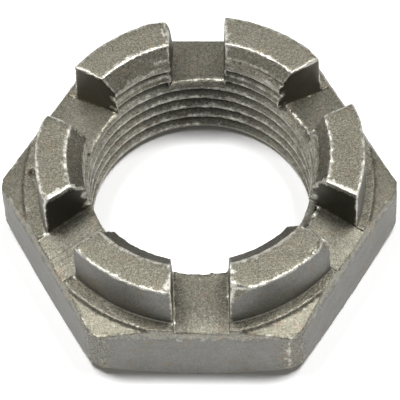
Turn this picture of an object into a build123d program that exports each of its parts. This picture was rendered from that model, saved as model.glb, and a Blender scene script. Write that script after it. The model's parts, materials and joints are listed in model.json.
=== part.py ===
from build123d import *
import math
import os

# Castle nut, one piece of steel: a hexagon with a round land on top of it,
# and on the land a crown that six slots divide into six merlons.
# Frame: Z is the bore's axis, z = 0 is the bearing face, one slot faces -Y.
# All lengths are in millimetres and all angles in degrees.

# ---- driving dimensions -------------------------------------------------
# thread: 1 in, 14 to the inch; only its crests are in this model
minor_diameter = 23.4            # the bore's wall, where the thread's crests lie

# hexagon
across_flats = 36.5              # 1 7/16 in
across_corners = 41.3            # the corners are turned down to this circle
bearing_face_diameter = 36.2     # flat ring that meets the washer
bottom_chamfer_angle = 24.0      # under the corners, up from the bearing face
shoulder_height = 7.85           # hexagon's top, at the foot of the land
shoulder_slope = 14.0            # the corners fall away from the land
flat_roll_height = 0.85          # the flats' upper edges are rolled over, which
flat_roll_width = 0.7            # shows where a flat runs into the land

# land, the round step that carries the crown
land_width = 1.35                # how far it stands out all round the crown
land_height = 8.2
land_edge_bevel = 0.15           # broken rim

# crown
total_height = 14.0
crown_base_diameter = 33.9
crown_top_diameter = 33.7        # the wall leans in a little as it rises
crown_root_radius = 0.25         # where the crown's wall grows out of the land
crown_edge_bevel = 0.2           # broken edge round the outside of the top
slot_edge_bevel = 0.2            # broken edges along the top of each slot

# slots for the split pin
slot_count = 6
slot_floor_height = 8.0          # the cutter just marks the land as it runs out
slot_floor_width = 5.75
slot_top_width = 6.2             # the cutter's flanks are slightly tapered
slot_root_radius = 0.25
slot_index_error = 2.3           # how far the slots stand off the flats' middles

# countersinks, both at 45 degrees
top_countersink_diameter = 27.15
bottom_countersink_diameter = 24.2

# ---- worked out from them ------------------------------------------------
minor_radius = minor_diameter / 2
corner_radius = across_corners / 2
crown_base_radius = crown_base_diameter / 2
crown_top_radius = crown_top_diameter / 2
land_radius = crown_base_radius + land_width
bearing_face_radius = bearing_face_diameter / 2
top_countersink_radius = top_countersink_diameter / 2
bottom_countersink_radius = bottom_countersink_diameter / 2
top_countersink_depth = top_countersink_radius - minor_radius
bottom_countersink_depth = bottom_countersink_radius - minor_radius
overshoot = total_height / 10    # how far every cutter runs past the metal


def turned_outline():
    """Half section of the outside, as it is turned before the slots are cut."""
    chamfer_rise = (corner_radius - bearing_face_radius) * math.tan(math.radians(bottom_chamfer_angle))
    shoulder_fall = (corner_radius - land_radius) * math.tan(math.radians(shoulder_slope))
    crown_foot = (crown_base_radius, land_height)
    outline = Polyline(
        (0, 0),
        (bearing_face_radius, 0),
        (corner_radius, chamfer_rise),
        (corner_radius, shoulder_height - shoulder_fall),
        (land_radius, shoulder_height),
        (land_radius, land_height - land_edge_bevel),
        (land_radius - land_edge_bevel, land_height),
        crown_foot,
        (crown_top_radius, total_height - crown_edge_bevel),
        (crown_top_radius - crown_edge_bevel, total_height),
        (0, total_height),
        close=True,
    )
    section = make_face(Plane.XZ * outline)
    foot = section.vertices().sort_by_distance(Vector(crown_foot[0], 0, crown_foot[1]))[0]
    return fillet(foot, crown_root_radius)


def hexagon():
    """The bar's six flats, one of them facing -Y, up to the land; above it, room for the crown."""
    outline = RegularPolygon(across_flats / 2, 6, major_radius=False)
    flats = extrude(outline, land_height)
    upper_edges = flats.faces().sort_by(Axis.Z)[-1].edges()
    flats = chamfer(upper_edges, flat_roll_height, flat_roll_width)
    on_bearing_face = (Align.CENTER, Align.CENTER, Align.MIN)
    crown_room = Cylinder(crown_base_radius + 2 * crown_root_radius, total_height, align=on_bearing_face)
    return flats + crown_room


def bore():
    """What the drill and the two countersinks take out."""
    outline = Polyline(
        (0, -overshoot),
        (bottom_countersink_radius + overshoot, -overshoot),
        (minor_radius, bottom_countersink_depth),
        (minor_radius, total_height - top_countersink_depth),
        (top_countersink_radius + overshoot, total_height + overshoot),
        (0, total_height + overshoot),
        close=True,
    )
    return revolve(make_face(Plane.XZ * outline), Axis.Z)


def slot():
    """What the cutter takes out as it runs from the bore out through -Y."""
    slot_depth = total_height - slot_floor_height
    flank = (slot_top_width - slot_floor_width) / 2 / slot_depth
    half_floor = slot_floor_width / 2
    half_above = slot_top_width / 2 + flank * overshoot
    outline = Polyline(
        (-half_floor, slot_floor_height),
        (half_floor, slot_floor_height),
        (half_above, total_height + overshoot),
        (-half_above, total_height + overshoot),
        close=True,
    )
    section = make_face(Plane.XZ * outline)
    roots = section.vertices().group_by(Axis.Z)[0]
    return extrude(fillet(roots, slot_root_radius), corner_radius + overshoot)


def castle_nut():
    nut = revolve(turned_outline(), Axis.Z) & hexagon()
    nut -= bore()
    for number in range(slot_count):
        nut -= Rot(Z=slot_index_error + number * 360 / slot_count) * slot()
    crown_tops = nut.faces().group_by(Axis.Z)[-1]
    slot_edges = crown_tops.edges().filter_by(GeomType.LINE)
    return chamfer(slot_edges, slot_edge_bevel)


nut = castle_nut()
nut.label = "castle_nut"

os.makedirs("parts", exist_ok=True)
export_step(nut, "parts/castle_nut.step")

print(f"castle_nut: {len(nut.solids())} solid, {nut.volume / 1000:.2f} cm3, "
      f"{nut.volume * 7.85e-3:.0f} g in steel")
box = nut.bounding_box()
print(f"box: {box.min} to {box.max}")
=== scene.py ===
# %% [markdown]
# # A castle nut in shot-blasted steel
# The object is one piece of steel: a hexagon that a wrench turns, a round land on top of it, and a crown
# of six merlons with slots between them for a split pin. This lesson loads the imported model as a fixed
# frame, makes a detailed copy of the nut much as a machine shop would, wears it, and finishes it in metal.
# Every length is in metres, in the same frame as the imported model: Z is the bore's axis, and z = 0 is the
# face that meets the washer.

# %% Load the frame and keep its box
import json
import math
import bpy
import bmesh
import numpy as np
from mathutils import Vector, Matrix, noise


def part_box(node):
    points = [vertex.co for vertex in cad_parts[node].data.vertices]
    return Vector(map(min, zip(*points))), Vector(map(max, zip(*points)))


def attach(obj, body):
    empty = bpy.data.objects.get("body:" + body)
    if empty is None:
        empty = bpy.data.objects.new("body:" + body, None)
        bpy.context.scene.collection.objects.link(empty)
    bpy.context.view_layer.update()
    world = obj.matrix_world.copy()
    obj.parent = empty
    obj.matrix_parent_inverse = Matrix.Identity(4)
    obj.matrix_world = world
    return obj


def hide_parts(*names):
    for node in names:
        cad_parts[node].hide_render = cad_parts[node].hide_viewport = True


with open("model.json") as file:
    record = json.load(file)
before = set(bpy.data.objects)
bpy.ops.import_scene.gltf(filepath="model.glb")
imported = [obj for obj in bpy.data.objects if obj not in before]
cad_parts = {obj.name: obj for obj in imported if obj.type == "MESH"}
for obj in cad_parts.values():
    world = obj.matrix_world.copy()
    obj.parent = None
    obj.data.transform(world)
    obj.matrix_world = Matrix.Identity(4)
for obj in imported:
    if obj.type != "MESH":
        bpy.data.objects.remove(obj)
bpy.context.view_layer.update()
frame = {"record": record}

low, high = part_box("castle_nut")
mm = 0.001


def in_mm(lengths):
    return [round(float(length) / mm, 3) for length in lengths]


print("the packed nut reaches from", in_mm(low), "to", in_mm(high), "mm")

# %% [markdown]
# ## Sizes
# What the frame knows is read from it: the outer box gives the flats, the corners and the height, and the
# thread's mount gives the bore. The rest are this nut's own sizes, each with a name, so that a change in
# one place reaches every step below. The thread's crests stand a little inside the bore's nominal wall in
# the body, and outside it in the crown, where blasting and wear reached them.

# %% Name the nut's sizes
nut_height = high[2] - low[2]
corner_radius = (high[0] - low[0]) / 2
half_flats = (high[1] - low[1]) / 2
thread_mount = next(m for m in frame["record"]["mounts"] if m["name"] == "thread")
bore_radius = thread_mount["dims"]["r_mm"] * mm

bearing_radius = 18.1 * mm
underside_angle = math.radians(24)
underside_rise = math.tan(underside_angle) * (corner_radius - bearing_radius)
corner_height = 7.25 * mm
step_radius = 18.3 * mm
step_foot = 7.9 * mm
land_height = 8.1 * mm
crown_foot_radius = 17.0 * mm
crown_top_radius = 16.95 * mm
crest_radius = bore_radius - 0.15 * mm
crown_crest_radius = 11.95 * mm
crest_widens, crest_widest = 9.5 * mm, 10.5 * mm
top_mouth_radius = 13.575 * mm
bottom_mouth_radius = 12.1 * mm
countersink_foot = nut_height - (top_mouth_radius - crown_crest_radius)
print("height, flats and bore radius:", in_mm([nut_height, 2 * half_flats, bore_radius]))

# %% [markdown]
# ## Turning the blank
# The outside, the bore and both countersinks are round about one axis, so on a lathe they come from one
# half section. The same can be done here with a spin, or by extruding a circle from step to step. The
# circle is used because each step can be read as one pass of the tool: a rise and a new radius.

# %% Helpers that select a piece, or some of its points or faces
def only(piece):
    bpy.ops.object.select_all(action='DESELECT')
    piece.select_set(True)
    bpy.context.view_layer.objects.active = piece


def pick(piece, kind, wanted):
    """Leaves the piece in edit mode with just the wanted points (VERT) or faces (FACE) selected."""
    only(piece)
    bpy.ops.object.mode_set(mode='EDIT')
    bpy.ops.mesh.select_mode(type=kind)
    bpy.ops.mesh.select_all(action='DESELECT')
    bpy.ops.object.mode_set(mode='OBJECT')
    for part in piece.data.vertices if kind == 'VERT' else piece.data.polygons:
        part.select = wanted(part)
    bpy.ops.object.mode_set(mode='EDIT')

# %% Turn a ring of metal from a circle
def turn(name, steps, passes):
    bpy.ops.object.select_all(action='DESELECT')
    radius, height = passes[0]
    bpy.ops.mesh.primitive_circle_add(vertices=steps, radius=radius, location=(0, 0, height))
    ring = bpy.context.object
    ring.name = name
    bpy.ops.object.transform_apply()
    bpy.ops.object.mode_set(mode='EDIT')
    for (r0, z0), (r1, z1) in zip(passes, passes[1:]):
        bpy.ops.mesh.extrude_region_move(TRANSFORM_OT_translate={"value": (0, 0, z1 - z0)})
        bpy.ops.transform.resize(value=(r1 / r0, r1 / r0, 1), center_override=(0, 0, z1))
    bpy.ops.mesh.select_mode(type='EDGE')
    bpy.ops.mesh.select_all(action='DESELECT')
    bpy.ops.mesh.select_non_manifold()
    bpy.ops.mesh.bridge_edge_loops()
    bpy.ops.mesh.select_all(action='SELECT')
    bpy.ops.mesh.normals_make_consistent(inside=False)
    bpy.ops.object.mode_set(mode='OBJECT')
    return ring


nut = turn("worn_castle_nut", 240, [
    (bearing_radius, 0),
    (corner_radius, underside_rise),
    (corner_radius, corner_height),
    (step_radius + 0.06 * mm, step_foot),
    (step_radius, step_foot + 0.05 * mm),
    (step_radius - 0.1 * mm, land_height),
    (crown_foot_radius + 0.1 * mm, land_height),
    (crown_foot_radius, land_height + 0.1 * mm),
    (crown_top_radius, nut_height),
    (top_mouth_radius, nut_height),
    (crown_crest_radius, countersink_foot),
    (crown_crest_radius, crest_widest),
    (crest_radius, crest_widens),
    (crest_radius, bottom_mouth_radius - crest_radius),
    (bottom_mouth_radius, 0),
])
print("blank:", len(nut.data.polygons), "faces")

# %% [markdown]
# ## The crown and the bore stand off centre
# The bar was gripped anew for the crown and for the bore, so both stand a fraction of a millimetre to one
# side. Their points are picked by height and radius, and each group is moved together.

# %% Move the crown's outside and the bore
crown_shift = 0.3 * mm
bore_shift = 0.15 * mm


def in_crown_wall(point):
    radius = point.co.xy.length
    return point.co.z > land_height - 0.01 * mm and top_mouth_radius + mm < radius < step_radius - 0.5 * mm


def in_bore(point):
    return point.co.xy.length < top_mouth_radius + 0.01 * mm


for wanted, shift in ((in_crown_wall, crown_shift), (in_bore, bore_shift)):
    pick(nut, 'VERT', wanted)
    bpy.ops.transform.translate(value=(shift, 0, 0))
    bpy.ops.object.mode_set(mode='OBJECT')
across_crown = [v.co.x for v in nut.data.vertices if v.co.z > nut_height - 0.1 * mm]
print("the crown reaches from x", in_mm([min(across_crown)]), "to", in_mm([max(across_crown)]), "mm")

# %% [markdown]
# ## Cutting the hexagon
# The real bar is drawn to a hexagon and its corners are turned down. Here the round blank is kept where it
# lies inside a six-sided prism, which gives flats with the turned corners left between them.

# %% Keep what lies inside the hexagon
def cut(piece, tool, operation):
    only(piece)
    step = piece.modifiers.new("cut", 'BOOLEAN')
    step.object, step.operation, step.solver = tool, operation, 'EXACT'
    bpy.ops.object.modifier_apply(modifier=step.name)
    bpy.data.objects.remove(tool)


bpy.ops.object.select_all(action='DESELECT')
bpy.ops.mesh.primitive_cylinder_add(
    vertices=6, radius=half_flats / math.cos(math.pi / 6), depth=2 * nut_height,
    location=(0, 0, nut_height / 2), rotation=(0, 0, math.pi / 6))
hexagon = bpy.context.object
bpy.ops.object.transform_apply()
cut(nut, hexagon, 'INTERSECT')
print("hexagon:", len(nut.data.polygons), "faces")

# %% [markdown]
# ## Rolled upper edges of the flats
# All along its upper edge each flat is rolled over in a short steep slope. A wedge is laid along each edge
# and taken away: a block whose inner side is made to lean by moving its lower points out to the flat.

# %% Cut a wedge along each flat's upper edge
def block(place, size):
    bpy.ops.object.select_all(action='DESELECT')
    bpy.ops.mesh.primitive_cube_add(size=1, location=place)
    made = bpy.context.object
    made.scale = size
    bpy.ops.object.transform_apply()
    return made


def move_points(piece, wanted, move):
    pick(piece, 'VERT', wanted)
    bpy.ops.transform.translate(value=move)
    bpy.ops.object.mode_set(mode='OBJECT')


wedge_low, wedge_high, wedge_depth, wedge_length = 7.15 * mm, 8.5 * mm, 0.8 * mm, 24 * mm
wedge_middle = (wedge_low + wedge_high) / 2
for number in range(6):
    wedge = block((0, -half_flats, wedge_middle), (wedge_length, 2 * wedge_depth, wedge_high - wedge_low))
    move_points(wedge, lambda p: p.co.z < wedge_middle and p.co.y > -half_flats, (0, -wedge_depth, 0))
    wedge.rotation_euler = (0, 0, number * math.pi / 3)
    bpy.ops.object.transform_apply()
    cut(nut, wedge, 'DIFFERENCE')
print("rolled edges:", len(nut.data.polygons), "faces")

# %% [markdown]
# ## Cutting the six slots
# A slotting cutter with slightly tapered flanks runs in from the outside towards the bore, six times
# round. It climbs as it goes, so it marks the land and leaves a floor that rises to the bore. One cutter is
# a block whose top is a little wider than its floor, and whose inner end is lifted and outer end lowered.
# The slots stand a little off the middles of the flats, because the nut was indexed by hand, and four of
# the cuts left the merlon on one side a little fuller. Slots are numbered from the front, anticlockwise.

# %% Cut the slots
slot_floor = 8.0 * mm
slot_floor_width = 5.75 * mm
slot_top_width = 6.2 * mm
slot_turn = math.radians(2.3)
floor_slope = 0.2
cutter_inner, cutter_outer, cutter_rise = 9 * mm, 22 * mm, 8 * mm
rise_to_top = cutter_rise / (nut_height - slot_floor)
cutter_top_width = slot_floor_width + (slot_top_width - slot_floor_width) * rise_to_top
# slot number: side of the slot, how much fuller at the floor and at the top
fuller_flanks = {0: (-1, 0.12 * mm, 0.3 * mm), 1: (-1, 0.35 * mm, 0.45 * mm),
                 3: (1, 0.27 * mm, 0.3 * mm), 5: (1, 0, 0.3 * mm)}


def floor_at(along):
    """Height of a slot's floor at a distance from the axis."""
    return slot_floor + floor_slope * (crown_foot_radius - along)


for number in range(6):
    cutter = block((0, -(cutter_inner + cutter_outer) / 2, slot_floor + cutter_rise / 2),
                   (slot_floor_width, cutter_outer - cutter_inner, cutter_rise))
    pick(cutter, 'FACE', lambda f: f.normal.z > 0.9)
    bpy.ops.transform.resize(value=(cutter_top_width / slot_floor_width, 1, 1), center_override=(0, 0, 0))
    bpy.ops.object.mode_set(mode='OBJECT')
    if number in fuller_flanks:
        side, at_floor, at_top = fuller_flanks[number]
        move_points(cutter, lambda p: p.co.x * side > 0, (-side * at_floor, 0, 0))
        move_points(cutter, lambda p: p.co.x * side > 0 and p.co.z > nut_height,
                    (-side * (at_top - at_floor) * rise_to_top, 0, 0))
    for end in (cutter_inner, cutter_outer):
        move_points(cutter, lambda p: p.co.z < nut_height and abs(p.co.y + end) < mm,
                    (0, 0, floor_at(end) - slot_floor))
    cutter.rotation_euler = (0, 0, slot_turn + number * math.pi / 3)
    bpy.ops.object.transform_apply()
    cut(nut, cutter, 'DIFFERENCE')
print("slots:", len(nut.data.polygons), "faces")

# %% [markdown]
# ## Cutting the thread
# A tap leaves one V-shaped groove that winds up the bore, fourteen turns to the inch. Its section is drawn
# once, a Screw modifier winds it into a helix, and the helix is taken away from the bore. In the crown the
# grooves are shallower, because their crests are worn down. So a groove of nearly the full depth is cut all
# the way, and its floor is cut a little deeper for the first turns, by a hair less than the groove's width
# so that no two cuts share a face.

# %% A groove of any depth on one helix
inch, turns_per_inch = 25.4 * mm, 14
thread_pitch = inch / turns_per_inch
groove_start = -0.3 * mm
groove_mouth_width = 0.66 * thread_pitch
flank_slope = math.tan(math.radians(30))
steps_per_turn = 96


def helix(inner_radius, root_radius, turns, slack=0.0):
    inner_width, root_width = (groove_mouth_width - slack - 2 * flank_slope * (r - bore_radius)
                               for r in (inner_radius, root_radius))
    bpy.ops.object.select_all(action='DESELECT')
    bpy.ops.mesh.primitive_plane_add(size=1)
    groove = bpy.context.object
    places = [(inner_radius, -inner_width), (root_radius, -root_width),
              (inner_radius, inner_width), (root_radius, root_width)]
    for corner, (radius, width) in zip(groove.data.vertices, places):
        corner.co = Vector((radius, 0, width / 2 + groove_start))
    bpy.ops.object.mode_set(mode='EDIT')
    bpy.ops.mesh.select_all(action='SELECT')
    bpy.ops.mesh.delete(type='ONLY_FACE')
    bpy.ops.object.mode_set(mode='OBJECT')
    winding = groove.modifiers.new("winding", 'SCREW')
    winding.axis, winding.screw_offset, winding.iterations = 'Z', thread_pitch, turns
    winding.steps = winding.render_steps = steps_per_turn
    winding.use_smooth_shade = False
    bpy.ops.object.modifier_apply(modifier="winding")
    bpy.ops.object.mode_set(mode='EDIT')
    bpy.ops.mesh.select_mode(type='EDGE')
    bpy.ops.mesh.select_all(action='DESELECT')
    bpy.ops.mesh.select_non_manifold()
    bpy.ops.mesh.edge_face_add()
    bpy.ops.mesh.select_all(action='SELECT')
    bpy.ops.mesh.normals_make_consistent(inside=False)
    bpy.ops.object.mode_set(mode='OBJECT')
    groove.location.x = bore_shift
    bpy.ops.object.transform_apply()
    return groove

# %% Cut the shallow groove, then deepen its first turns
thread_root_radius = 12.6 * mm
crown_root_radius = 12.5 * mm
cut(nut, helix(bore_radius - 0.35 * mm, crown_root_radius, 9), 'DIFFERENCE')
print("shallow thread:", len(nut.data.polygons), "faces")
cut(nut, helix(bore_radius + 0.2 * mm, thread_root_radius, 5, slack=0.03 * mm), 'DIFFERENCE')
print("deep thread:", len(nut.data.polygons), "faces")

# %% [markdown]
# ## An even skin
# The cuts leave long thin faces that can't carry small marks. A Remesh in its sharp mode lays an even net
# of small squares over the same shape and keeps its edges, so that the wear can be worked into it.

# %% Lay an even net over the nut
only(nut)
net = nut.modifiers.new("net", 'REMESH')
net.mode, net.octree_depth, net.scale, net.sharpness = 'SHARP', 9, 0.68, 1.0
net.use_remove_disconnected = True
bpy.ops.object.modifier_apply(modifier="net")
print("net:", len(nut.data.vertices), "points,", len(nut.data.polygons), "faces")

# %% [markdown]
# ## Where the metal wears
# Blasting, handling and washers wear a nut at its outward edges, and never evenly. Points on an outward
# edge get a weight by where they lie and their neighbours less, and a slow noise makes some stretches wear
# more than others. The crown's edges wear most; those of the land and the underside hardly at all.

# %% Find a point's place by the slots, the flats and the bore
def slot_place(point):
    """How far a point lies across and along the slot that is nearest to it, and the slot's number."""
    turned = math.degrees(math.atan2(point.y, point.x)) + 90 - math.degrees(slot_turn)
    number = round(turned / 60)
    turned = math.radians(turned - 60 * number)
    return point.xy.length * math.sin(turned), point.xy.length * math.cos(turned), number % 6


def inside_flat(place):
    """How far a point lies inside the nearest flat."""
    turned = math.atan2(place.y, place.x)
    from_middle = (turned + math.pi / 2 + math.pi / 6) % (math.pi / 3) - math.pi / 6
    return half_flats - place.xy.length * math.cos(from_middle)


def bore_distance(point):
    return (point.xy - Vector((bore_shift, 0))).length


def crest_at(height):
    """Radius of the thread's crests, which is larger in the crown."""
    share = np.clip((height - crest_widens) / (crest_widest - crest_widens), 0, 1)
    return crest_radius + share * (crown_crest_radius - crest_radius)

# %% Give an edge its weight
outward_turn = math.radians(20)


def edge_weight(place):
    height, radius = place.z, place.xy.length
    on_land_rim = abs(radius - step_radius) < 0.25 * mm and height > step_foot
    on_land = step_foot - 0.3 * mm < height < land_height + 0.2 * mm and radius > crown_foot_radius
    on_ragged_line = place.x > 0 and place.y < -17.9 * mm
    on_corner_line = height < 7 * mm and radius > half_flats and not on_ragged_line
    on_underside = height < 1.3 * mm
    on_crown = height > slot_floor + 0.5 * mm and radius > bore_radius + 0.5 * mm
    on_inner_rim = radius < top_mouth_radius + mm
    if on_land_rim or on_corner_line:
        return 0.25
    if on_land or on_underside:
        return 0.15
    if not on_crown:
        return 0.6
    return 0.9 if on_inner_rim else 1.0

# %% Weigh the outward edges and, less at each ring, their neighbours
skin = bmesh.new()
skin.from_mesh(nut.data)
weight = [0.0] * len(skin.verts)
for edge in skin.edges:
    if edge.is_manifold and edge.calc_face_angle_signed() > outward_turn:
        for point in edge.verts:
            weight[point.index] = edge_weight(point.co)
neighbours = [[e.other_vert(v).index for e in v.link_edges] for v in skin.verts]
skin.free()
edge_points = sum(w > 0 for w in weight)
rings, ring_share, least_weight = 3, 0.7, 0.05
for _ in range(rings):
    weight = [max(w, ring_share * max(weight[n] for n in near)) if near else w
              for w, near in zip(weight, neighbours)]
print("edge points:", edge_points, "and with their neighbours", sum(w > least_weight for w in weight))

# %% Keep the weights in a vertex group
edges = nut.vertex_groups.new(name="edges")
for point, w in zip(nut.data.vertices, weight):
    if w > least_weight:
        unevenness = 0.85 + 0.4 * noise.noise(point.co * 500)
        edges.add([point.index], min(1, w * unevenness), 'REPLACE')

# %% [markdown]
# ## Blunt corners
# Six of the crown's upright corners were struck in the tumbler and are far blunter than the rest. They get
# a second vertex group, with weights that fade with distance, so that a longer Smooth can melt them. The
# hexagon's corners, where the bar's scale is left, get a third. A corner is told by its turn from +X and
# by how far round it the metal is melted.

# %% Weigh the blunt corners and the hexagon's corners
blunt_corners = [(math.radians(turned), reach * mm) for turned, reach in
                 ((222.5, 1.7), (322.1, 2.2), (102.5, 1.8), (162.6, 2.4), (22, 2.2), (42.6, 1.5))]
blunt = nut.vertex_groups.new(name="blunt")
scaly = nut.vertex_groups.new(name="scaly")
half_slot = slot_floor_width / 2
for point in nut.data.vertices:
    place = point.co
    height, radius = place.z, place.xy.length
    if height > land_height + 0.2 * mm and radius > 14.5 * mm:
        for turned, reach in blunt_corners:
            corner = crown_top_radius * Vector((math.cos(turned), math.sin(turned)))
            gap = (place.xy - corner).length
            if gap < reach:
                blunt.add([point.index], min(1, 2 - 2 * gap / reach), 'REPLACE')
    if radius > corner_radius - 0.25 * mm and mm < height < corner_height:
        scaly.add([point.index], 1, 'REPLACE')

# %% [markdown]
# ## Chips
# Two corners of the crown lost a chip. A chip is a small plane: all metal beyond it and near it is pressed
# back to it. NumPy moves the points together, which is quick on a net this fine. The chips come before the
# rounding, so that their edges wear too.

# %% Chip two corners
def read_spots():
    spots = np.empty(3 * len(nut.data.vertices))
    nut.data.vertices.foreach_get("co", spots)
    return spots.reshape(-1, 3)


def chip(spots, place, facing, reach):
    facing = np.array(facing) / np.linalg.norm(facing)
    from_place = spots - np.array(place) * mm
    beyond = from_place @ facing
    near = np.sum(from_place ** 2, axis=1) < (reach * mm) ** 2
    spots[:] -= np.where(near & (beyond > 0), beyond, 0)[:, None] * facing


spots = read_spots()
chip(spots, (4.0, -15.7, 13.6), (-0.3, -1.0, 0.65), 2.4)
chip(spots, (-15.8, 4.6, 13.5), (-0.42, 0.9, 0.15), 2.4)
nut.data.vertices.foreach_set("co", spots.ravel())
nut.data.update()
print("chipped corners: 2")

# %% [markdown]
# ## Rounding and roughening
# A Smooth modifier held to the edges rounds them. Then Displace modifiers press noise into the metal:
# small bites along the edges, scale at the hexagon's corners, and broad shallow waves all over.

# %% Round the edges, then press noise into the skin
def shape(kind, **settings):
    only(nut)
    step = nut.modifiers.new(kind.lower(), kind)
    for name, value in settings.items():
        setattr(step, name, value)
    bpy.ops.object.modifier_apply(modifier=step.name)


def clouds(name, grain, depth):
    pattern = bpy.data.textures.new(name, 'CLOUDS')
    pattern.noise_scale, pattern.noise_depth = grain, depth
    return pattern


shape('SMOOTH', factor=0.5, iterations=90, vertex_group="blunt")
shape('SMOOTH', factor=0.5, iterations=12, vertex_group="edges")
shape('DISPLACE', texture=clouds("bites", 0.5 * mm, 2), texture_coords='LOCAL', direction='NORMAL',
      strength=0.24 * mm, mid_level=0.6, vertex_group="edges")
shape('DISPLACE', texture=clouds("scale", 0.7 * mm, 3), texture_coords='LOCAL', direction='NORMAL',
      strength=0.16 * mm, mid_level=0.6, vertex_group="scaly")
shape('DISPLACE', texture=clouds("waves", 1.1 * mm, 2), texture_coords='LOCAL', direction='NORMAL',
      strength=0.05 * mm, mid_level=0.5)
print("worn:", [round(v / mm, 3) for v in nut.dimensions], "mm")

# %% [markdown]
# ## Thread ends and knocks
# The slotting cutter folded the thread's ends over, so beside a slot the grooves close up. A used nut also
# has a few dents and turned-up burrs of its own. A knock is a soft push on all the points round one place,
# strongest at its middle. Last, whatever stands out of the nut's box is pressed back to it.

# %% Close the thread's grooves beside the slots
spots = read_spots()
fold_reach = 0.4 * mm
flank_lean = 0.04
folded_radius = crest_at(spots[:, 2]) + 0.12 * mm
turned = np.arctan2(spots[:, 1], spots[:, 0]) + math.pi / 2 - slot_turn
nearest = np.round(turned / (math.pi / 3)) * math.pi / 3
reach_out = np.hypot(spots[:, 0], spots[:, 1])
across, along = reach_out * np.sin(turned - nearest), reach_out * np.cos(turned - nearest)
depth = np.hypot(spots[:, 0] - bore_shift, spots[:, 1]) - folded_radius
flank_gap = np.abs(np.abs(across) - half_slot - flank_lean * (spots[:, 2] - slot_floor))
above_floor = spots[:, 2] - floor_at(along)
in_thread = (depth > 0) & (depth < crown_root_radius - folded_radius + 0.05 * mm)
in_thread &= (above_floor > 0.1 * mm) & (spots[:, 2] < countersink_foot)
fold = np.where(in_thread, depth * np.clip(1.15 - flank_gap / fold_reach, 0, 1), 0)
heading = nearest + slot_turn - math.pi / 2
spots[:, 0] -= fold * np.cos(heading)
spots[:, 1] -= fold * np.sin(heading)
print("folded thread points:", int(np.count_nonzero(fold)))

# %% Knock the nut about
def knock(place, push, reach):
    distance = np.sum((spots - np.array(place) * mm) ** 2, axis=1) / (reach * mm) ** 2
    spots[:] += np.exp(-distance)[:, None] * np.array(push) * mm


knock((4.5, -16.15, 13.6), (-0.06, 0.16, -0.05), 0.4)
knock((13.2, -10.6, 13.9), (-0.35, 0.25, -0.15), 0.7)
knock((12.0, -11.9, 13.9), (-0.12, 0.15, -0.12), 0.35)
knock((-3.3, 14.3, 11.6), (0.32, 0, 0), 1.7)
knock((-3.3, 15.9, 13.9), (-0.35, -0.2, -0.2), 0.6)
knock((-15.61, -5.86, 13.9), (0.2, 0.22, -0.2), 0.55)
knock((-12.8, -4.89, 13.9), (-0.25, 0.15, -0.2), 0.5)
knock((-11.6, -5.1, 12.9), (-0.2, 0.25, 0), 0.6)
knock((-13.21, 3.8, 13.9), (-0.15, -0.15, -0.2), 0.5)
knock((-16.25, 4.4, 13.9), (0.2, -0.2, -0.15), 0.5)
knock((-17.45, 1.15, 8.1), (0.05, 0, -0.3), 0.3)
spots[:] = np.clip(spots, low, high)
nut.data.vertices.foreach_set("co", spots.ravel())
nut.data.update()
print("knocked:", in_mm(spots.min(0)), "to", in_mm(spots.max(0)), "mm")

# %% [markdown]
# ## Thinning the net
# Flat stretches need far fewer faces than the edges do. A Decimate modifier thins the net to a size that a
# parts library can store. The outward edges are worn round, so they shade smoothly; the inward ones stay
# sharp, and normals weighted by face size keep the flats looking flat.

# %% Thin the net and shade it
faces_wanted = 95000
inward_turn = math.radians(-35)
shape('DECIMATE', decimate_type='COLLAPSE', ratio=min(1, faces_wanted / len(nut.data.polygons)))
print("thinned:", len(nut.data.polygons), "faces")
only(nut)
bpy.ops.object.shade_smooth()
skin = bmesh.new()
skin.from_mesh(nut.data)
for edge in skin.edges:
    edge.smooth = not (edge.is_manifold and edge.calc_face_angle_signed() < inward_turn)
skin.to_mesh(nut.data)
skin.free()
shape('WEIGHTED_NORMAL', weight=50, keep_sharp=True)

# %% [markdown]
# ## Marking the finishes
# One bar of steel shows several finishes: blasted tops, smoother drawn flats, dark slot walls, a thread,
# and bare metal on the edges. Painting each by hand would work too. Here each point's place and facing tell
# which finish it has. Its lightness also paints light and shade. There is painted light on the back
# merlons' tops, on the rolled edges and on the countersink's back right, and the thread is lighter at its
# sides than at the back. There is painted shade at the land's foot and deep in the thread's grooves,
# painted light and shade in part on the slot floors, and in part a painted highlight on the bare edges. The
# material reads six
# numbers from it: how light the metal is, how gritty, how warm in colour, how plainly milled, how bare, and
# its place across its slot.

# %% How light each finish is, and where light and shade are painted
top_light, back_top_painted_light, shoulder_light, step_painted_shade = 0.9, 0.98, 0.95, 0.55
flat_light, rolled_painted_light, corner_light = 0.95, 1.4, 0.95
slot_wall_light, crown_wall_light = 0.5, 0.86
countersink_light, thread_light = 0.8, 0.95
# each slot's own floor lightness is in part painted light and shade
slot_floor_painted_light_and_shade = {0: 0.42, 1: 0.62, 2: 1.0, 3: 0.92, 4: 1.25, 5: 0.62}
floor_shade_fade_start, floor_shade_fade_length = 15 * mm, 3.2 * mm


def floor_painted_light_and_shade(across, along, number):
    """A slot's floor gets its own lightness inside, in part painted light and shade between the merlons,
    and the tops' as it runs out over the land. The front slot's floor is painted darker along the foot
    of its walls, a painted shade.
    """
    out_of_shade = min(1, max(0, (along - floor_shade_fade_start) / floor_shade_fade_length)) ** 1.5
    light = slot_floor_painted_light_and_shade[number] * (1 - out_of_shade) + top_light * out_of_shade
    # painted shade along the foot of the front slot's walls
    foot_shade_width = 0.35 * mm if across < 0 else 0.15 * mm
    if number == 0 and half_slot - abs(across) < foot_shade_width:
        light *= 0.45 + 0.55 * out_of_shade
    return light


def rim_painted_light(turned):
    """The countersink is painted lightest towards the back right, a painted light; turned is in degrees
    from +X.
    """
    return countersink_light * (0.9 + 0.25 * max(0, math.cos(math.radians(turned - 70))) ** 2)


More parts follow.
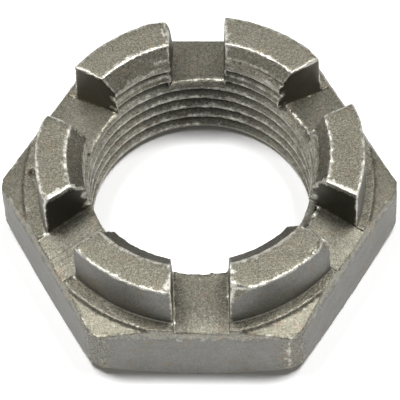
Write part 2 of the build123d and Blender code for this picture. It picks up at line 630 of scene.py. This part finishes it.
def groove_painted_light_and_shade(place):
    """The thread is painted lighter at its sides than at the back, a painted light, and painted darker deep
    in its grooves, a painted shade.
    """
    from_back = math.degrees(math.atan2(place.x, place.y))
    lit_side = min(1.6, 0.6 + 0.45 * (from_back / 25) ** 2)
    crest = crest_at(place.z)
    full_depth = (thread_root_radius if place.z < crest_widens else crown_root_radius) - crest
    depth = (bore_distance(place) - crest) / full_depth
    return thread_light * lit_side * (1 - 0.7 * min(1, max(0, depth - 0.2) / 0.65))


def step_foot_painted_shade(turned):
    """Painted shade in the crease at the land's foot: dark round the corners, fading out at the flats'
    middles.
    """
    past_corner = abs((turned + 30) % 60 - 30)
    return top_light + (step_painted_shade - top_light) * min(1, max(0, (26 - past_corner) / 12))

# %% Tell each point's finish and painted light
def finish_and_painted_light(place, facing):
    """Lightness, with painted light and shade in places, grit, warmth and milling of the metal at one
    point.
    """
    height, radius, bore_gap = place.z, place.xy.length, bore_distance(place)
    outward = place.xy.normalized().dot(facing.xy)
    across, along, number = slot_place(place)
    above_floor = height - floor_at(along)
    turned = math.degrees(math.atan2(place.y, place.x))
    upright = abs(facing.z) < 0.45
    in_slot = abs(across) < half_slot + 0.1 * mm and radius < step_radius - 0.3 * mm
    on_step_foot = abs(radius - step_radius - 0.05 * mm) < 0.14 * mm and height < land_height - 0.08 * mm
    on_rolled_edge = wedge_low < height < land_height - 0.05 * mm and inside_flat(place) < 0.65 * mm
    if above_floor > 0.15 * mm and upright and abs(outward) < 0.6:
        return slot_wall_light, 0.2, 0.8, 0
    if abs(above_floor) < 0.2 * mm and in_slot and facing.z > 0.8:
        return floor_painted_light_and_shade(across, along, number), 0.8, 0.9, 1 if number == 5 else 0.25
    if bore_gap < top_mouth_radius and height > countersink_foot - 0.1 * mm and facing.z > 0.3:
        return rim_painted_light(turned), 0.9, 0.9, 0
    if bore_gap < thread_root_radius + 0.1 * mm and height < countersink_foot:
        return groove_painted_light_and_shade(place), 0.8, 0.7, 0
    if upright and radius > corner_radius - 0.35 * mm:
        return corner_light, 1, 0.6, 0
    if upright and outward > 0.6:
        return (crown_wall_light, 0.45, 0, 0) if height > land_height else (flat_light, 0.3, 0, 0)
    # the rolled edges are painted lighter: a painted light
    if on_rolled_edge and 0.3 < facing.z < 0.85:
        return rolled_painted_light, 0.5, 0.5, 0
    # painted shade in the crease at the land's foot
    if on_step_foot:
        return step_foot_painted_shade(turned), 1, 1, 0
    if radius > step_radius:
        return shoulder_light, 0.6, 1, 0
    # the back merlons' tops are painted lighter: a painted light
    return (back_top_painted_light if place.y > 5 * mm else top_light), 1, 1, 0

# %% Tell how bare each point is worn, in part a painted highlight
edge_group = nut.vertex_groups["edges"].index
# each rubbed spot's place and its reach, in mm; its bare metal is in part a painted highlight
worn_and_highlit_spots = [((-2.6, -15.9, 14), 0.4), ((-2.4, -15.3, 14), 0.3), ((-4.2, 15.1, 14), 0.25),
              ((-3.9, 14.5, 14), 0.25), ((3.9, -14.1, 14), 0.3), ((4.2, -15.4, 13.9), 0.3),
              ((13.3, -10.4, 13.9), 0.4)]


def on_worn_and_highlit_end(place):
    """The side merlons' front ends, which are worn bright along the top, in part a painted highlight."""
    across, along, number = slot_place(place)
    gap = abs(abs(across) - slot_top_width / 2)
    on_side_merlon = (number, across > 0) in ((5, False), (1, True))
    return on_side_merlon and place.z > nut_height - 0.5 * mm and gap < 0.45 * mm


def bareness_and_highlight(place, held):
    """Share of bare metal, in part a painted highlight, from the edge weights that the point holds and the
    spots near it.
    """
    rubbed_and_highlit = max(1.4 - (place - Vector(spot) * mm).length / (reach * mm) for spot, reach in worn_and_highlit_spots)
    on_rolled_edge = abs(place.z - wedge_low) < 0.35 * mm and inside_flat(place) < 0.3 * mm
    in_slot = abs(slot_place(place)[0]) < half_slot + 0.2 * mm
    on_floor_rim = 8.5 * mm < place.z < 9.4 * mm and in_slot and place.xy.length < 13 * mm
    share = 0.4 if on_rolled_edge else 0.5 if on_floor_rim else 1
    return float(max(0, *held, min(1, rubbed_and_highlit), on_worn_and_highlit_end(place))) * share


bare_and_highlit, found = [], []
for point in nut.data.vertices:
    held = [g.weight for g in point.groups if g.group == edge_group]
    bare_and_highlit.append(bareness_and_highlight(point.co, held))
    found.append(finish_and_painted_light(point.co, point.normal))

# %% Store the finishes, with their painted light and shade, on the points
def store(name, values):
    marks = nut.data.attributes.new(name, 'FLOAT', 'POINT')
    marks.data.foreach_set("value", values)
    mean = sum(values) / len(values)
    print(name, "from", round(min(values), 4), "to", round(max(values), 4), "mean", round(mean, 4))


light, grit, warmth, milled = zip(*found)
store("bare_and_highlit", bare_and_highlit)
store("light", light)
store("grit", grit)
store("warmth", warmth)
store("milled", milled)
store("across", [slot_place(point.co)[0] for point in nut.data.vertices])

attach(nut, "root")
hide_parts("castle_nut")

# %% [markdown]
# ## Steel
# The metal is one shader. Fine noise of about a fifth of a millimetre stands for the blasting, and gives
# both the speckle and the bump that makes the surface sparkle. Slower noise varies the tone. The stored
# finishes then mix in the drawn, walled and bare metal, and the stored lightness brings in painted light
# and shade.

# %% Helpers for nodes
def add(tree, kind, **values):
    made = tree.nodes.new(kind)
    for name, value in values.items():
        if hasattr(made, name):
            setattr(made, name, value)
        else:
            made.inputs[name.replace("_", " ")].default_value = value
    return made


steel = bpy.data.materials.new("blasted_steel")
steel.use_nodes = True
tree = steel.node_tree
shader = tree.nodes["Principled BSDF"]
shader.inputs["Metallic"].default_value = 1
here = add(tree, "ShaderNodeTexCoord").outputs["Object"]


def speckle(scale, detail=2, stretch=None):
    pattern = add(tree, "ShaderNodeTexNoise", Scale=scale, Detail=detail)
    source = here
    if stretch:
        mapping = add(tree, "ShaderNodeMapping", Scale=stretch)
        tree.links.new(here, mapping.inputs["Vector"])
        source = mapping.outputs["Vector"]
    tree.links.new(source, pattern.inputs["Vector"])
    return pattern.outputs["Fac"]


def stored(name):
    return add(tree, "ShaderNodeAttribute", attribute_name=name).outputs["Fac"]


def ramp(value, low_in, high_in, low_out=0.0, high_out=1.0):
    made = add(tree, "ShaderNodeMapRange")
    tree.links.new(value, made.inputs["Value"])
    limits = {"From Min": low_in, "From Max": high_in, "To Min": low_out, "To Max": high_out}
    for name, number in limits.items():
        made.inputs[name].default_value = number
    return made.outputs["Result"]


def reckon(operation, a, b):
    made = add(tree, "ShaderNodeMath", operation=operation)
    for socket, value in zip(made.inputs, (a, b)):
        if isinstance(value, (int, float)):
            socket.default_value = value
        else:
            tree.links.new(value, socket)
    return made.outputs[0]


def blend_colour(share, a, b, way='MIX'):
    made = add(tree, "ShaderNodeMix", data_type='RGBA', blend_type=way)
    for number, value in ((0, share), (6, a), (7, b)):
        socket = made.inputs[number]
        if isinstance(value, (tuple, int, float)):
            socket.default_value = value
        else:
            tree.links.new(value, socket)
    return made.outputs[2]

# %% Grain, flecks and patches
grain = ramp(speckle(6500, 3), 0.33, 0.67, -1, 1)
coarse = ramp(speckle(3000, 2), 0.33, 0.67, -1, 1)
patches = ramp(speckle(420, 3), 0.3, 0.7, -1, 1)
flecks = ramp(speckle(5200, 0), 0.64, 0.74)
grit = stored("grit")
warmth = stored("warmth")
# bare metal on worn edges and rubbed spots, in part a painted highlight
wear_and_highlight = reckon('ADD', stored("bare_and_highlit"), reckon('MULTIPLY', ramp(speckle(1500, 3), 0.3, 0.7), 0.5))
bare_and_highlit_share = reckon('MULTIPLY', ramp(wear_and_highlight, 0.5, 0.95), ramp(grain, -0.7, 0.3, 0.5, 1.0))

# %% Cutter marks along the slots
marks = add(tree, "ShaderNodeTexNoise", noise_dimensions='1D', Scale=1, Detail=2)
tree.links.new(reckon('MULTIPLY', stored("across"), 4500), marks.inputs["W"])
milling = reckon('MULTIPLY', ramp(marks.outputs["Fac"], 0.35, 0.65, -1, 1), stored("milled"))

# %% Colour
warm_steel = (0.25, 0.238, 0.186, 1)
grey_steel = (0.26, 0.256, 0.236, 1)
rust_tint = (0.27, 0.225, 0.17, 1)
# lighter than bare steel, so that the bare metal also paints a highlight
bare_metal_and_highlight = (0.8, 0.78, 0.7, 1)
colour = blend_colour(warmth, grey_steel, warm_steel)
colour = blend_colour(reckon('MULTIPLY', ramp(speckle(700, 2), 0.55, 0.7), 0.6), colour, rust_tint)
contrast = reckon('ADD', reckon('MULTIPLY', grain, 0.42), reckon('MULTIPLY', coarse, 0.2))
contrast = reckon('MULTIPLY', contrast, grit)
tone = reckon('ADD', 1.0, contrast)
tone = reckon('ADD', tone, reckon('MULTIPLY', patches, 0.07))
tone = reckon('ADD', tone, reckon('MULTIPLY', milling, 0.22))
# the stored lightness carries painted light and shade in places
tone = reckon('MULTIPLY', tone, stored("light"))
shades = add(tree, "ShaderNodeVectorMath", operation='SCALE')
tree.links.new(colour, shades.inputs[0])
tree.links.new(tone, shades.inputs["Scale"])
sparkle = reckon('MULTIPLY', reckon('MULTIPLY', flecks, grit), reckon('MULTIPLY', stored("light"), 0.24))
colour = blend_colour(sparkle, shades.outputs[0], bare_metal_and_highlight)
colour = blend_colour(bare_and_highlit_share, colour, bare_metal_and_highlight)
tree.links.new(colour, shader.inputs["Base Color"])

# %% Roughness and bump
rough = reckon('SUBTRACT', ramp(grit, 0, 1, 0.44, 0.42), reckon('MULTIPLY', bare_and_highlit_share, 0.08))
tree.links.new(rough, shader.inputs["Roughness"])
relief = add(tree, "ShaderNodeBump", Distance=0.000004)
tree.links.new(grit, relief.inputs["Strength"])
tree.links.new(grain, relief.inputs["Height"])
tree.links.new(relief.outputs["Normal"], shader.inputs["Normal"])
nut.data.materials.clear()
nut.data.materials.append(steel)
print("steel:", len(tree.nodes), "nodes")

# %% [markdown]
# ## Camera
# A long lens looks down at the crown from about 59 degrees, a little to the right of the front flat.

# %% Place the camera
yaw, pitch, roll = math.radians(4.528), math.radians(58.863), math.radians(-3.509)
back = Vector((math.sin(yaw) * math.cos(pitch), -math.cos(yaw) * math.cos(pitch), math.sin(pitch)))
right = Vector((math.cos(yaw), math.sin(yaw), 0))
up = back.cross(right)
camera_right = math.cos(roll) * right + math.sin(roll) * up
camera_up = -math.sin(roll) * right + math.cos(roll) * up
camera = bpy.data.objects.new("camera", bpy.data.cameras.new("camera"))
bpy.context.collection.objects.link(camera)
stand = Matrix((camera_right, camera_up, back)).transposed().to_4x4()
aside, above, away = -0.117 * mm, 2.307 * mm, 336.3 * mm
stand.translation = aside * camera_right + above * camera_up + away * back
camera.matrix_world = stand
camera.data.lens, camera.data.sensor_width, camera.data.clip_start = 284.8, 36, 0.01
bpy.context.scene.camera = camera
print("camera at", [round(v, 3) for v in camera.location])

# %% [markdown]
# ## Floor and room
# The nut lies on white paper in a white room. The world is white to the camera and in reflections, and
# dimmer as a light, so that two softboxes overhead can leave a short soft shadow round the nut. The room
# darkens overhead, which gives the tops their tone. Each softbox is a pair of lamps, one of which lights
# the paper and the nut but isn't seen in the metal.

# %% Light the room
bpy.ops.object.select_all(action='DESELECT')
bpy.ops.mesh.primitive_plane_add(size=3)
floor = bpy.context.object
floor.name = "floor"


def seen_directly(tree):
    rays = add(tree, "ShaderNodeLightPath")
    both = add(tree, "ShaderNodeMath", operation='MAXIMUM')
    tree.links.new(rays.outputs["Is Camera Ray"], both.inputs[0])
    tree.links.new(rays.outputs["Is Glossy Ray"], both.inputs[1])
    three = add(tree, "ShaderNodeMath", operation='MAXIMUM')
    tree.links.new(both.outputs[0], three.inputs[0])
    tree.links.new(rays.outputs["Is Transmission Ray"], three.inputs[1])
    return three.outputs[0]


world = bpy.data.worlds.new("studio")
bpy.context.scene.world = world
world.use_nodes = True
room = world.node_tree
room.nodes["Background"].inputs["Color"].default_value = (1, 1, 1, 1)
direction = add(room, "ShaderNodeSeparateXYZ")
room.links.new(add(room, "ShaderNodeTexCoord").outputs["Generated"], direction.inputs[0])
ceiling = add(room, "ShaderNodeMapRange")
room.links.new(direction.outputs["Z"], ceiling.inputs["Value"])
for name, number in (("From Min", 0.15), ("From Max", 0.55), ("To Min", 1.0), ("To Max", 0.45)):
    ceiling.inputs[name].default_value = number
shine = add(room, "ShaderNodeMapRange")
room.links.new(seen_directly(room), shine.inputs["Value"])
shine.inputs["To Min"].default_value = 0.3
level = add(room, "ShaderNodeMath", operation='MULTIPLY')
room.links.new(ceiling.outputs[0], level.inputs[0])
room.links.new(shine.outputs[0], level.inputs[1])
room.links.new(level.outputs[0], room.nodes["Background"].inputs["Strength"])

paper = bpy.data.materials.new("paper")
paper.use_nodes = True
sheet = paper.node_tree
matt = sheet.nodes["Principled BSDF"]
rays = add(sheet, "ShaderNodeLightPath")
white = add(sheet, "ShaderNodeMix", data_type='RGBA')
sheet.links.new(rays.outputs["Is Glossy Ray"], white.inputs[0])
white.inputs[6].default_value = (0.95, 0.95, 0.95, 1)
white.inputs[7].default_value = (0.2, 0.2, 0.2, 1)
sheet.links.new(white.outputs[2], matt.inputs["Base Color"])
matt.inputs["Emission Color"].default_value = (1, 1, 1, 1)
even = add(sheet, "ShaderNodeMath", operation='MULTIPLY')
even.inputs[1].default_value = 0.6
sheet.links.new(rays.outputs["Is Glossy Ray"], even.inputs[0])
sheet.links.new(even.outputs[0], matt.inputs["Emission Strength"])
matt.inputs["Roughness"].default_value = 1
matt.inputs["Specular IOR Level"].default_value = 0
floor.data.materials.append(paper)


def softbox(name, place, size, power, in_reflections=True):
    lamp = bpy.data.lights.new(name, 'AREA')
    lamp.energy, lamp.size = power, size
    box = bpy.data.objects.new(name, lamp)
    bpy.context.collection.objects.link(box)
    box.location = place
    box.rotation_euler = (-Vector(place)).to_track_quat('-Z', 'Y').to_euler()
    box.visible_glossy = in_reflections
    return box


lamp_distance, lamp_height, lamp_turn = 0.6, math.radians(71), math.radians(25)
lamp_size, seen_power, unseen_power = 0.17, 1.15, 2.2
for side, name in ((1, "right"), (-1, "left")):
    place = (side * lamp_distance * math.cos(lamp_height) * math.cos(lamp_turn),
             lamp_distance * math.cos(lamp_height) * math.sin(lamp_turn),
             lamp_distance * math.sin(lamp_height))
    softbox(name + "_softbox", place, lamp_size, seen_power)
    softbox(name + "_paper_light", place, lamp_size, unseen_power, in_reflections=False)
print("softboxes at a height of", round(lamp_distance * math.sin(lamp_height), 2), "m")

# %% Set the colour view
bpy.context.scene.view_settings.view_transform = 'Standard'
